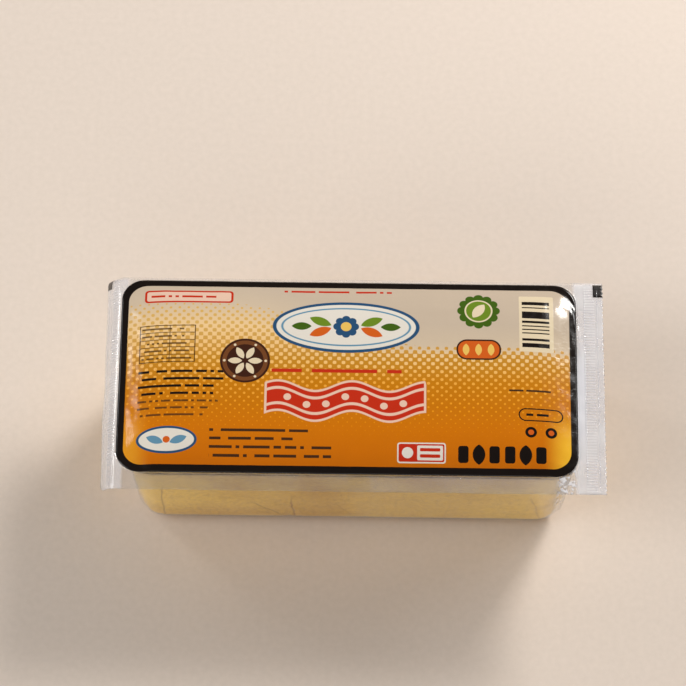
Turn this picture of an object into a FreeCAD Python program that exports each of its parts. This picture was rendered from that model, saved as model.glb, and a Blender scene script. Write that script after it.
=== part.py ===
import FreeCAD, Part
import math
import os
from FreeCAD import Vector

# A block of butter in a clear vacuum-formed film tray, closed by a printed lid film that is
# heat-sealed to the tray's flange. The pack lies on its tray floor with the lid up.
# Millimetres and degrees. X runs along the block, Y across it, Z up.
#
# The model is laid out with the middle of the tray floor at X = Y = 0, and is moved at the end so
# that the middle of its whole footprint is there.

# ---------------------------------------------------------------- driving dimensions
# Formed pocket of the tray, which the butter fills
POCKET_LENGTH = 201.0         # at the mouth, along X
POCKET_WIDTH = 95.0           # at the mouth, along Y
POCKET_DEPTH = 60.5           # from the tray floor to the seal plane
WALL_DRAFT = 6.0              # lean of the four walls
MOUTH_CORNER_RADIUS = 13.0    # upright corners, at the mouth
FLOOR_CORNER_RADIUS = 10.0    # upright corners, at the floor
FLOOR_EDGE_RADIUS = 9.0       # where the walls turn into the floor
RIM_FLARE = 1.2               # where the walls turn out into the flange
FLOOR_EDGE_SECTIONS = 5       # outlines that the rounded floor edge is lofted through
RIM_FLARE_SECTIONS = 3

# Crown: the butter stands above the seal plane, and its shoulders roll down to the rim
CROWN_HEIGHT = 5.0
CROWN_FLAT_WIDTH = 28.0       # flat strip left on top, measured along Y
CROWN_TOP_RADIUS = 12.0       # corners of that flat strip
CROWN_POWER = 3               # 2 is a round shoulder, more is a squarer one
CROWN_SECTIONS = 6            # outlines that the shoulder is lofted through

# Films
TRAY_FILM = 0.35
LID_FILM = 0.25

# Flange: flat lengths of film outside the mouth
FRONT_FLANGE = 8.4
BACK_FLANGE = 7.6
RIGHT_FLANGE = 12.5
LEFT_FLANGE = 16.4

# The back flange is bent down along its length, and the left one folds down over the end
BACK_LAND = 1.6               # flat film between the mouth and the bend
BACK_BEND_RADIUS = 2.5        # to the seal plane
BACK_BEND_ANGLE = 50.0
LEFT_LAND = 2.6
LEFT_BEND_RADIUS = 6.2
LEFT_BEND_ANGLE = 68.0
CURLED_CORNER_RADIUS = 4.5    # film corner at the front of the left flap

# Saw-tooth knife that parts the packs at both ends
TOOTH_PITCH = 2.4
TOOTH_DEPTH = 0.55
KNIFE_CLEARANCE = 4.0         # how far the cutting tool reaches past the film all round

# ---------------------------------------------------------------- sizes that follow
CROWN_REACH = (POCKET_WIDTH - CROWN_FLAT_WIDTH) / 2
FRONT_EDGE = -POCKET_WIDTH / 2 - FRONT_FLANGE
BACK_BEND_START = POCKET_WIDTH / 2 + BACK_LAND
RIGHT_EDGE = POCKET_LENGTH / 2 + RIGHT_FLANGE
LEFT_BEND_START = -POCKET_LENGTH / 2 - LEFT_LAND
BACK_FLAP = BACK_FLANGE - BACK_LAND - BACK_BEND_RADIUS * math.radians(BACK_BEND_ANGLE)
LEFT_FLAP = LEFT_FLANGE - LEFT_LAND - LEFT_BEND_RADIUS * math.radians(LEFT_BEND_ANGLE)


def rounded_rectangle(length, width, radius, height):
    """Closed outline in a level plane: four sides and four corner arcs, always in the same order."""
    half_x, half_y = length / 2, width / 2
    corners = [(half_x - radius, half_y - radius, 0), (radius - half_x, half_y - radius, 90),
               (radius - half_x, radius - half_y, 180), (half_x - radius, radius - half_y, 270)]

    def rim_point(corner, turn):
        centre_x, centre_y, start = corner
        angle = math.radians(start + turn)
        return Vector(centre_x + radius * math.cos(angle), centre_y + radius * math.sin(angle), height)

    edges = []
    for index, corner in enumerate(corners):
        following = corners[(index + 1) % len(corners)]
        edges.append(Part.Arc(rim_point(corner, 0), rim_point(corner, 45), rim_point(corner, 90)).toShape())
        edges.append(Part.LineSegment(rim_point(corner, 90), rim_point(following, 0)).toShape())
    return Part.Wire(edges)


def wall_inset(height):
    """How far the leaning walls stand inside the mouth's outline at a height."""
    return (POCKET_DEPTH - height) * math.tan(math.radians(WALL_DRAFT))


def pocket_outline(inset, height):
    """The pocket's outline at a height, its corners going from the floor's radius to the mouth's."""
    share = height / POCKET_DEPTH
    radius = FLOOR_CORNER_RADIUS + (MOUTH_CORNER_RADIUS - FLOOR_CORNER_RADIUS) * share
    return rounded_rectangle(POCKET_LENGTH - 2 * inset, POCKET_WIDTH - 2 * inset, radius, height)


def filled_pocket():
    """Tapered block with rounded corners, a rounded floor edge and a flared rim."""
    draft = math.radians(WALL_DRAFT)
    wall_foot = FLOOR_EDGE_RADIUS * (1 - math.sin(draft))
    edge_centre = wall_inset(wall_foot) + FLOOR_EDGE_RADIUS * math.cos(draft)
    floor_edge = []
    for index in range(FLOOR_EDGE_SECTIONS):
        turn = (math.pi / 2 - draft) * index / (FLOOR_EDGE_SECTIONS - 1)
        floor_edge.append(pocket_outline(edge_centre - FLOOR_EDGE_RADIUS * math.sin(turn),
                                         FLOOR_EDGE_RADIUS * (1 - math.cos(turn))))

    flange_under = POCKET_DEPTH - TRAY_FILM
    flare_foot = flange_under - RIM_FLARE
    flare = []
    for index in range(RIM_FLARE_SECTIONS):
        turn = math.pi / 2 * index / (RIM_FLARE_SECTIONS - 1)
        flare.append(pocket_outline(wall_inset(flare_foot) - RIM_FLARE * (1 - math.cos(turn)),
                                    flare_foot + RIM_FLARE * math.sin(turn)))

    foot = Part.makeLoft(floor_edge, True, True)
    walls = Part.makeLoft([pocket_outline(wall_inset(wall_foot), wall_foot),
                           pocket_outline(wall_inset(flare_foot), flare_foot)], True, True)
    rim = Part.makeLoft(flare, True, True)
    return foot.fuse([walls, rim])


def crown(lift):
    """Mound above the seal plane, lofted through outlines that shrink as they rise."""
    outlines = []
    for index in range(CROWN_SECTIONS):
        share = index / (CROWN_SECTIONS - 1)
        inset = CROWN_REACH * share
        rise = CROWN_HEIGHT * (1 - (1 - share) ** CROWN_POWER)
        radius = MOUTH_CORNER_RADIUS + (CROWN_TOP_RADIUS - MOUTH_CORNER_RADIUS) * share
        outlines.append(rounded_rectangle(POCKET_LENGTH - 2 * inset, POCKET_WIDTH - 2 * inset,
                                          radius, POCKET_DEPTH + lift + rise))
    return Part.makeLoft(outlines, True, True)


def film_section(below, above):
    """Cross-section of one film at the left bend: flat, then bent down at the back."""
    bend_centre = Vector(LEFT_BEND_START, BACK_BEND_START, POCKET_DEPTH - BACK_BEND_RADIUS)
    turn = math.radians(BACK_BEND_ANGLE)

    def front_point(offset):
        return Vector(LEFT_BEND_START, FRONT_EDGE, POCKET_DEPTH + offset)

    def bend_point(offset, angle):
        reach = BACK_BEND_RADIUS + offset
        return bend_centre + Vector(0, reach * math.sin(angle), reach * math.cos(angle))

    def flap_point(offset):
        return bend_point(offset, turn) + Vector(0, math.cos(turn), -math.sin(turn)) * BACK_FLAP

    def bend_arc(offset):
        return Part.Arc(bend_point(offset, 0), bend_point(offset, turn / 2), bend_point(offset, turn)).toShape()

    def line(start, end):
        return Part.LineSegment(start, end).toShape()

    outline = Part.Wire([
        line(front_point(above), bend_point(above, 0)), bend_arc(above),
        line(bend_point(above, turn), flap_point(above)), line(flap_point(above), flap_point(-below)),
        line(flap_point(-below), bend_point(-below, turn)), bend_arc(-below),
        line(bend_point(-below, 0), front_point(-below)), line(front_point(-below), front_point(above))])
    return Part.Face(outline)


def knife(edge_x, outward):
    """Saw-tooth cutter that trims flat film at edge_x, with its body on the outward side (1 or -1)."""
    reach = POCKET_WIDTH / 2 + max(FRONT_FLANGE, BACK_FLANGE) + KNIFE_CLEARANCE
    half_teeth = 2 * math.ceil(reach / TOOTH_PITCH)
    points = []
    for step in range(-half_teeth, half_teeth + 1):
        notch = TOOTH_DEPTH if step % 2 else 0.0
        points.append(Vector(edge_x - outward * notch, step * TOOTH_PITCH / 2, 0))
    points.append(Vector(edge_x + outward * KNIFE_CLEARANCE, points[-1].y, 0))
    points.append(Vector(edge_x + outward * KNIFE_CLEARANCE, points[0].y, 0))
    points.append(points[0])
    return Part.Face(Part.makePolygon(points)).extrude(Vector(0, 0, 2 * POCKET_DEPTH))


def film_sheet(below, above):
    """One film over the whole footprint: flat, bent down at the back and folded down at the left."""
    section = film_section(below, above)
    bend_axis = Vector(LEFT_BEND_START, 0, POCKET_DEPTH - LEFT_BEND_RADIUS)
    fold_direction = Vector(0, -1, 0)

    middle = section.extrude(Vector(RIGHT_EDGE - LEFT_BEND_START, 0, 0)).cut(knife(RIGHT_EDGE, 1))
    fold = section.revolve(bend_axis, fold_direction, LEFT_BEND_ANGLE)
    flap = section.extrude(Vector(-LEFT_FLAP, 0, 0))
    flap_edge = LEFT_BEND_START - LEFT_FLAP
    curled_corner = [edge for edge in flap.Edges
                     if edge.BoundBox.XMax < flap_edge + 0.01 and edge.BoundBox.YMax < FRONT_EDGE + 0.01]
    flap = flap.makeFillet(CURLED_CORNER_RADIUS, curled_corner).cut(knife(flap_edge, -1))
    flap.rotate(bend_axis, fold_direction, LEFT_BEND_ANGLE)
    return middle.fuse([fold, flap]).removeSplitter()


def filled_tray():
    """Clear formed film with its flange, filled with butter up to the crown: one solid."""
    return filled_pocket().fuse([film_sheet(TRAY_FILM, 0), crown(0)]).removeSplitter()


def lid_film():
    """Printed film over the crown and the whole flange."""
    return film_sheet(0, LID_FILM).fuse(crown(LID_FILM)).cut(crown(0)).removeSplitter()


parts = {"filled_tray": filled_tray(), "lid_film": lid_film()}

footprint = Part.makeCompound(list(parts.values())).optimalBoundingBox(False)
to_middle = Vector(-footprint.Center.x, -footprint.Center.y, 0)

os.makedirs("parts", exist_ok=True)
for name, shape in parts.items():
    solid = shape.Solids[0]
    solid.translate(to_middle)
    solid.exportStep(f"parts/{name}.step")
    box = solid.optimalBoundingBox(False)
    print(name, "solids", len(shape.Solids), "valid", solid.isValid(), "volume cm3", round(solid.Volume / 1000, 1),
          "box", [round(value, 2) for value in (box.XMin, box.XMax, box.YMin, box.YMax, box.ZMin, box.ZMax)])
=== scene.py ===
"""Looks of a vacuum-packed butter block: the butter, its clear formed film and the printed lid film.

Lengths are metres, and millimetres inside the materials. The pack lies on its tray floor with the lid up.
"""

import logging
import math
from dataclasses import dataclass
from enum import Enum
from typing import Callable, Iterable, Optional, Sequence, Union

import bmesh
import bpy
from mathutils import Matrix, Vector, noise


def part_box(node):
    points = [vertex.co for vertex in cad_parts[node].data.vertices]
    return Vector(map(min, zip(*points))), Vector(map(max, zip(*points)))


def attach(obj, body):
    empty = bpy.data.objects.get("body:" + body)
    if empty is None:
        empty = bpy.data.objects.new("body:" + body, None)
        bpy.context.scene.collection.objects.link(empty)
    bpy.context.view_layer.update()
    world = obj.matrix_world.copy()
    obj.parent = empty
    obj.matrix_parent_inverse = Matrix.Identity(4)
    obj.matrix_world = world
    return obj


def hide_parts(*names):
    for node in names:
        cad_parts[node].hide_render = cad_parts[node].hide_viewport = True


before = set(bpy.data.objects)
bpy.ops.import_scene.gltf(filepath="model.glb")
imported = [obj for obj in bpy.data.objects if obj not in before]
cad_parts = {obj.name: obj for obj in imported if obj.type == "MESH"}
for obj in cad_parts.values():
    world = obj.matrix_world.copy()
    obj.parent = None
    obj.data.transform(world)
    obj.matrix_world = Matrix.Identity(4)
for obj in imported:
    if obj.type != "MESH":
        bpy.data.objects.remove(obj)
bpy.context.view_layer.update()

LOG = logging.getLogger("butter_pack")
MM = 0.001
Point = tuple[float, float]
Loop = list[Vector]
Colour = tuple[float, float, float]
Rgba = tuple[float, float, float, float]
Piece = bpy.types.Object
Socket = bpy.types.NodeSocket


def linear(red: int, green: int, blue: int) -> Rgba:
    """Turn a display colour into the linear colour that a shader takes.

    Args:
        red: Red, 0 to 255.
        green: Green, 0 to 255.
        blue: Blue, 0 to 255.

    Returns:
        The linear colour with an alpha of 1.
    """
    def channel(value: int) -> float:
        """Linear value of one channel."""
        share = value / 255
        return share / 12.92 if share <= 0.04045 else ((share + 0.055) / 1.055) ** 2.4

    return channel(red), channel(green), channel(blue), 1.0


def smooth_step(low: float, high: float, value: float) -> float:
    """Ease from 0 at low to 1 at high."""
    share = min(1.0, max(0.0, (value - low) / (high - low)))
    return share * share * (3 - 2 * share)


def bell(value: float, width: float) -> float:
    """Height of a smooth bump of the given half width, 1 at its middle."""
    return math.exp(-(value / width) ** 2)


# Sizes and the film's shape
@dataclass(frozen=True)
class PackSizes:
    """Sizes of the pack; the places of its middle and its seal plane come from the frame."""

    middle: Vector
    seal_height: float
    pocket_length: float = 201.0 * MM
    pocket_width: float = 95.0 * MM
    wall_draft: float = math.radians(6.0)
    mouth_radius: float = 13.0 * MM
    floor_radius: float = 10.0 * MM
    floor_edge: float = 9.0 * MM
    rim_flare: float = 1.2 * MM
    crown_height: float = 5.0 * MM
    crown_flat_width: float = 28.0 * MM
    crown_power: float = 3.0
    tray_film: float = 0.35 * MM
    lid_film: float = 0.25 * MM
    front_flange: float = 8.4 * MM
    back_flange: float = 7.6 * MM
    right_flange: float = 12.5 * MM
    left_flange: float = 16.4 * MM
    back_land: float = 1.6 * MM
    back_bend_radius: float = 2.5 * MM
    back_bend: float = math.radians(50.0)
    left_land: float = 2.6 * MM
    left_bend_radius: float = 6.2 * MM
    left_bend: float = math.radians(68.0)
    curled_corner: float = 4.5 * MM
    tooth_depth: float = 0.55 * MM
    tooth_trim: float = 0.9 * MM

    @classmethod
    def from_frame(cls) -> "PackSizes":
        """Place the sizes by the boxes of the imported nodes.

        Returns:
            The sizes, with the middle of the pocket's mouth and the height of the seal plane.
        """
        film_low, film_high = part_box("lid_film")
        tray_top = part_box("filled_tray")[1][2]
        middle = Vector((film_high[0] - cls.right_flange - cls.pocket_length / 2,
                         film_low[1] + cls.front_flange + cls.pocket_width / 2, 0))
        return cls(middle=middle, seal_height=tray_top - cls.crown_height)

    @property
    def crown_reach(self) -> float:
        """Width of the rounded shoulder, from the rim to the flat top."""
        return (self.pocket_width - self.crown_flat_width) / 2

    @property
    def foot(self) -> float:
        """Height at which the rounded floor edge meets the wall."""
        return self.floor_edge * (1 - math.sin(self.wall_draft))

    def wall_inset(self, height: float) -> float:
        """How far the leaning walls stand inside the mouth at a height above the floor."""
        return (self.seal_height - height) * math.tan(self.wall_draft)

    def floor_edge_at(self, share: float) -> Point:
        """Follow the rounded floor edge.

        Args:
            share: 0 where it leaves the floor, 1 where it meets the wall.

        Returns:
            The inset and the height.
        """
        turn = (math.pi / 2 - self.wall_draft) * share
        centre = self.wall_inset(self.foot) + self.floor_edge * math.cos(self.wall_draft)
        return centre - self.floor_edge * math.sin(turn), self.floor_edge * (1 - math.cos(turn))

    def film_edges(self, trim: float = 0.0) -> tuple[float, float, float, float]:
        """Right, back, left and front edge of the flat film, drawn in by a trim."""
        end, side = self.pocket_length / 2, self.pocket_width / 2
        return (end + self.right_flange - trim, side + self.back_flange - trim,
                -end - self.left_flange + trim, -side - self.front_flange + trim)

    def inset_at(self, x: float, y: float) -> float:
        """Distance inside the mouth's rounded outline.

        Args:
            x: Place along the block, from the middle of the mouth.
            y: Place across it.

        Returns:
            The inset, negative outside the mouth.
        """
        from_end = self.pocket_length / 2 - abs(x)
        from_side = self.pocket_width / 2 - abs(y)
        radius = self.mouth_radius
        inset = min(from_end, from_side)
        along = radius - from_end
        across = radius - from_side
        if along + inset > 0 and across + inset > 0:
            total = along + across
            under = total * total - 2 * (along * along + across * across - radius * radius)
            inset = (-total + math.sqrt(max(0.0, under))) / 2
        return inset

    def crown_at(self, x: float, y: float) -> float:
        """Height of the crowned top above the seal plane."""
        share = min(1.0, max(0.0, self.inset_at(x, y) / self.crown_reach))
        return self.crown_height * (1 - (1 - share) ** self.crown_power)


@dataclass(frozen=True)
class Ridge:
    """A fold of slack film along a line of points, in metres from the middle of the mouth."""

    points: tuple[Point, ...]
    height: float
    width: float

    def lift(self, x: float, y: float) -> float:
        """Find the height of the fold at a place.

        Args:
            x: Place along the flat film.
            y: Place across it.

        Returns:
            The height.
        """
        place = Vector((x, y))
        nearest, share = 1.0, 0.0
        for index, (start, end) in enumerate(zip(self.points, self.points[1:])):
            first, run = Vector(start), Vector(end) - Vector(start)
            along = max(0.0, min(1.0, (place - first).dot(run) / run.length_squared))
            away = (place - first - run * along).length
            if away < nearest:
                nearest, share = away, (index + along) / (len(self.points) - 1)
        if nearest > 3 * self.width:
            return 0.0
        return self.height * bell(nearest, self.width) * math.sin(math.pi * min(0.95, max(0.05, share)))


def ridge(height: float, width: float, *points: Point) -> Ridge:
    """Make a ridge from sizes in millimetres."""
    return Ridge(tuple((x * MM, y * MM) for x, y in points), height * MM, width * MM)


@dataclass(frozen=True)
class FilmShape:
    """Maps flat film to its place: over the crown, along the flange and round its two bends."""

    sizes: PackSizes
    ripple: float = 0.16 * MM
    flutter: float = 0.35 * MM
    lean: float = 0.34
    ridges: tuple[Ridge, ...] = (
        ridge(0.55, 1.1, (94, 43), (98.5, 36), (101, 26), (102.8, 12), (103.4, -10)),
        ridge(0.35, 0.9, (96.5, 34), (99.5, 20), (100.6, 4)),
        ridge(0.45, 1.3, (-98, 40), (-100.2, 24), (-98.6, 8), (-100.4, -8), (-99.2, -24), (-97, -36)),
        ridge(0.30, 0.8, (-101.5, 30), (-103.2, 14), (-102.4, -6), (-103.0, -22)),
        ridge(0.40, 1.0, (88, -41), (97, -43.5), (103, -40)),
        ridge(0.35, 1.0, (96, -47.5), (102, -46), (105, -38)),
        ridge(0.25, 1.0, (12, 38), (30, 34), (52, 36), (70, 33)),
        ridge(0.18, 1.4, (-60, 44), (-20, 41.5), (20, 43.5)),
    )

    def unevenness(self, x: float, y: float) -> float:
        """Small lifts that the vacuum and the handling leave in the films.

        Args:
            x: Place along the flat film, from the middle of the mouth.
            y: Place across it.

        Returns:
            The lift, shared by every film so that they stay on each other.
        """
        sizes = self.sizes
        inset = sizes.inset_at(x, y)
        place = Vector((x, y, 0)) / MM
        shoulder = bell(inset - 4 * MM, 5 * MM) * noise.noise(Vector((place.x / 5, place.y / 5, 1.7)))
        long_wave = noise.noise(Vector((place.x / 26, place.y / 17, 5.1))) * smooth_step(0, 20 * MM, inset)
        free_edge = smooth_step(0, 9 * MM, -inset) * noise.noise(Vector((place.x / 21, place.y / 12, 9.4)))
        folds = sum(fold.lift(x, y) for fold in self.ridges)
        return self.ripple * (shoulder + 1.5 * long_wave) + self.flutter * free_edge + folds

    @staticmethod
    def _bend(run: float, lift: float, radius: float, angle: float) -> Point:
        """Follow film round a bend and straight on.

        Args:
            run: Length of film past the start of the bend.
            lift: Height over the film's face.
            radius: Radius of the bend.
            angle: Angle at which it ends.

        Returns:
            The reach from the start of the bend, and the height.
        """
        turn = min(run / radius, angle)
        rest, arm = run - radius * turn, radius + lift
        return (arm * math.sin(turn) + rest * math.cos(turn),
                arm * math.cos(turn) - radius - rest * math.sin(turn))

    def place(self, x: float, y: float, above: float) -> Vector:
        """Put a point of the flat film where it lies on the pack.

        Args:
            x: Place along the flat film, from the middle of the mouth.
            y: Place across it.
            above: Height over the seal plane's film face, along the film's own normal.

        Returns:
            The point in the frame.
        """
        sizes = self.sizes
        lift = above + sizes.crown_at(x, y) + self.unevenness(x, y)
        back = sizes.pocket_width / 2 + sizes.back_land
        if y > back:
            reach, lift = self._bend(y - back, lift, sizes.back_bend_radius, sizes.back_bend)
            y = back + reach
        left = -sizes.pocket_length / 2 - sizes.left_land
        if x < left:
            reach, low = self._bend(left - x, lift, sizes.left_bend_radius, sizes.left_bend)
            x = left - reach
            y += (lift - low) * self.lean
            lift = low
        return sizes.middle + Vector((x, y, sizes.seal_height + lift))

    def laid(self, outline: Sequence[Point], above: float) -> Loop:
        """Lay a flat outline on the pack."""
        return [self.place(x, y, above) for x, y in outline]


# Outlines
def toward(start: Point, end: Point, share: float) -> Point:
    """Point a share of the way from one point to another."""
    return start[0] + (end[0] - start[0]) * share, start[1] + (end[1] - start[1]) * share


def between(first: Sequence[Point], last: Sequence[Point], share: float) -> list[Point]:
    """Outline a share of the way from one outline to another."""
    return [toward(start, end, share) for start, end in zip(first, last)]


@dataclass(frozen=True)
class LoopPlan:
    """How many points each stretch of an outline gets; every outline of a piece shares one plan."""

    long_side: int = 200
    short_side: int = 84
    corner: int = 16

    def rounded(self, length: float, width: float, radius: float, shift: Point = (0.0, 0.0)) -> list[Point]:
        """Outline of a rounded rectangle, anticlockwise from the lower end of its right side.

        Args:
            length: Size along X.
            width: Size along Y.
            radius: Corner radius.
            shift: Place of its middle.

        Returns:
            The points of the outline.
        """
        half_x, half_y = length / 2 - radius, width / 2 - radius
        centres = [(half_x, half_y), (-half_x, half_y), (-half_x, -half_y), (half_x, -half_y)]
        points: list[Point] = []
        for side, end in enumerate(centres):
            heading = side * math.pi / 2
            count = self.long_side if side % 2 else self.short_side
            stops = [(toward(centres[side - 1], end, step / count), heading) for step in range(count)]
            stops += [(end, heading + math.pi / 2 * step / self.corner) for step in range(self.corner)]
            points += [(x + radius * math.cos(angle) + shift[0], y + radius * math.sin(angle) + shift[1])
                       for (x, y), angle in stops]
        return points

    def film_edge(self, sizes: PackSizes, toothed: bool) -> list[Point]:
        """Outline of the flat film, with the rounded corner at its left front.

        Args:
            sizes: Sizes of the pack.
            toothed: True for the cut edge with its saw-tooth ends, False for the line inside the teeth.

        Returns:
            The points, in step with those of a rounded outline.
        """
        right, back, left, front = sizes.film_edges(0.0 if toothed else sizes.tooth_trim)
        corners = [(right, front), (right, back), (left, back), (left, front)]
        radius = sizes.curled_corner
        centre = Vector((left + radius, front + radius))
        points: list[Point] = []
        for side, start in enumerate(corners):
            count = self.corner + (self.long_side if side % 2 else self.short_side)
            for step in range(count):
                x, y = toward(start, corners[(side + 1) % 4], step / count)
                if toothed and side % 2 == 0 and step % 2:
                    x -= math.copysign(sizes.tooth_depth, x)
                out = Vector((x, y)) - centre
                if out.x < 0 and out.y < 0 and out.length > radius:
                    out = out.normalized() * radius
                    x, y = centre.x + out.x, centre.y + out.y
                points.append((x, y))
        half_corner = self.corner // 2
        return points[half_corner:] + points[:half_corner]


# Modelling
class Modeller:
    """Builds meshes with the edit-mode operators, one loop of points at a time."""

    @staticmethod
    def loft(name: str, loops: Sequence[Loop], close_start: bool = False, close_end: bool = False) -> Piece:
        """Extrude a circle of edges through a row of loops.

        Args:
            name: Name of the new piece.
            loops: Loops with equal numbers of points.
            close_start: Whether a face closes the first loop.
            close_end: Whether a face closes the last loop.

        Returns:
            The new piece, in object mode.
        """
        bpy.ops.object.select_all(action="DESELECT")
        bpy.ops.mesh.primitive_circle_add(vertices=len(loops[0]), radius=1.0, fill_type="NOTHING")
        piece = bpy.context.active_object
        piece.name = name
        piece.data.name = name
        bpy.ops.object.mode_set(mode="EDIT")
        bpy.ops.mesh.select_mode(type="VERT")
        bpy.ops.mesh.select_all(action="SELECT")
        cage = bmesh.from_edit_mesh(piece.data)
        cage.verts.ensure_lookup_table()
        place = cage.verts.layers.int.new("place")
        vert = cage.verts[0]
        previous = None
        for index in range(len(loops[0])):
            vert[place] = index
            ends = [edge.other_vert(vert) for edge in vert.link_edges]
            previous, vert = vert, next(end for end in ends if end is not previous)
        Modeller._seat(piece, loops[0])
        if close_start:
            bpy.ops.mesh.edge_face_add()
            bpy.ops.mesh.select_mode(type="EDGE")
        for loop in loops[1:]:
            bpy.ops.mesh.extrude_edges_move()
            Modeller._seat(piece, loop)
        if close_end:
            bpy.ops.mesh.edge_face_add()
        bpy.ops.mesh.select_mode(type="VERT")
        bpy.ops.mesh.select_all(action="SELECT")
        bpy.ops.mesh.normals_make_consistent(inside=False)
        bpy.ops.object.mode_set(mode="OBJECT")
        bpy.ops.object.shade_smooth()
        return piece

    @staticmethod
    def _seat(piece: Piece, loop: Loop) -> None:
        """Move the selected points of the edited piece to their places in a loop.

        Args:
            piece: The piece.
            loop: The loop.
        """
        cage = bmesh.from_edit_mesh(piece.data)
        place = cage.verts.layers.int["place"]
        for vert in cage.verts:
            if vert.select:
                vert.co = loop[vert[place]]
        bmesh.update_edit_mesh(piece.data)

    @staticmethod
    def film(name: str, loops: Sequence[Loop], thickness: float, heading: int, closed: bool = False) -> Piece:
        """Loft a sheet of film and give it its thickness, which grows upwards.

        Args:
            name: Name of the new piece.
            loops: Loops of the sheet.
            thickness: Thickness of the film.
            heading: 1 for a sheet whose faces point up, -1 for down.
            closed: Whether a face closes the last loop.

        Returns:
            The film.
        """
        piece = Modeller.loft(name, loops, close_end=closed)
        if heading * sum(face.normal.z * face.area for face in piece.data.polygons) < 0:
            bpy.ops.object.mode_set(mode="EDIT")
            bpy.ops.mesh.select_all(action="SELECT")
            bpy.ops.mesh.flip_normals()
            bpy.ops.object.mode_set(mode="OBJECT")
        solidify = piece.modifiers.new("film", "SOLIDIFY")
        solidify.thickness = thickness
        solidify.offset = heading
        solidify.use_even_offset = False
        bpy.ops.object.modifier_apply(modifier=solidify.name)
        return piece

    @staticmethod
    def join(pieces: Sequence[Piece], name: str) -> Piece:
        """Join pieces into one.

        Args:
            pieces: Pieces to join.
            name: Name of the joined piece.

        Returns:
            The joined piece.
        """
        bpy.ops.object.select_all(action="DESELECT")
        for piece in pieces:
            piece.select_set(True)
        joined = bpy.context.view_layer.objects.active = pieces[0]
        bpy.ops.object.join()
        joined.name = joined.data.name = name
        return joined


# Shader arithmetic
Value = Union["Signal", float, int]
SignalMethod = Callable[..., "Signal"]


def operators(operation: str) -> tuple[SignalMethod, SignalMethod]:
    """Make the methods of Signal for one Math operation.

    Args:
        operation: Operation of the Math node.

    Returns:
        The method, and its reflected form, which takes the two values the other way round.
    """
    def plain(self: "Signal", *others: Value) -> "Signal":
        """Result of the operation."""
        return self.shader.math(operation, self, *others)

    def reflected(self: "Signal", other: Value) -> "Signal":
        """Result of the operation with the other value first."""
        return self.shader.math(operation, other, self)

    return plain, reflected


@dataclass(frozen=True)
class Signal:
    """A shader value that can be used in a Python expression."""

    shader: "Shader"
    socket: Socket

    __add__, __radd__ = operators("ADD")
    __sub__, __rsub__ = operators("SUBTRACT")
    __mul__, __rmul__ = operators("MULTIPLY")
    __truediv__, __rtruediv__ = operators("DIVIDE")
    __pow__, __rpow__ = operators("POWER")
    __abs__, floor, fraction, cosine = (
        operators(operation)[0] for operation in ("ABSOLUTE", "FLOOR", "FRACT", "COSINE"))
    over, under, largest, smallest = (
        operators(operation)[0] for operation in ("GREATER_THAN", "LESS_THAN", "MAXIMUM", "MINIMUM"))

    def ramp(self, low: float, high: float, start: float = 0.0, end: float = 1.0) -> "Signal":
        """Ease smoothly from start to end as this goes from low to high."""
        node = self.shader.node("ShaderNodeMapRange", {"interpolation_type": "SMOOTHSTEP"},
                                {"Value": self, "From Min": low, "From Max": high, "To Min": start, "To Max": end})
        return Signal(self.shader, node.outputs["Result"])

    def edge(self, limit: float, softness: float) -> "Signal":
        """1 well below the limit and 0 well above it, with a soft edge between."""
        node = self.shader.node("ShaderNodeMath", {"operation": "MULTIPLY_ADD", "use_clamp": True},
                                {0: self, 1: -1 / softness, 2: limit / softness + 0.5})
        return Signal(self.shader, node.outputs[0])


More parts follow.
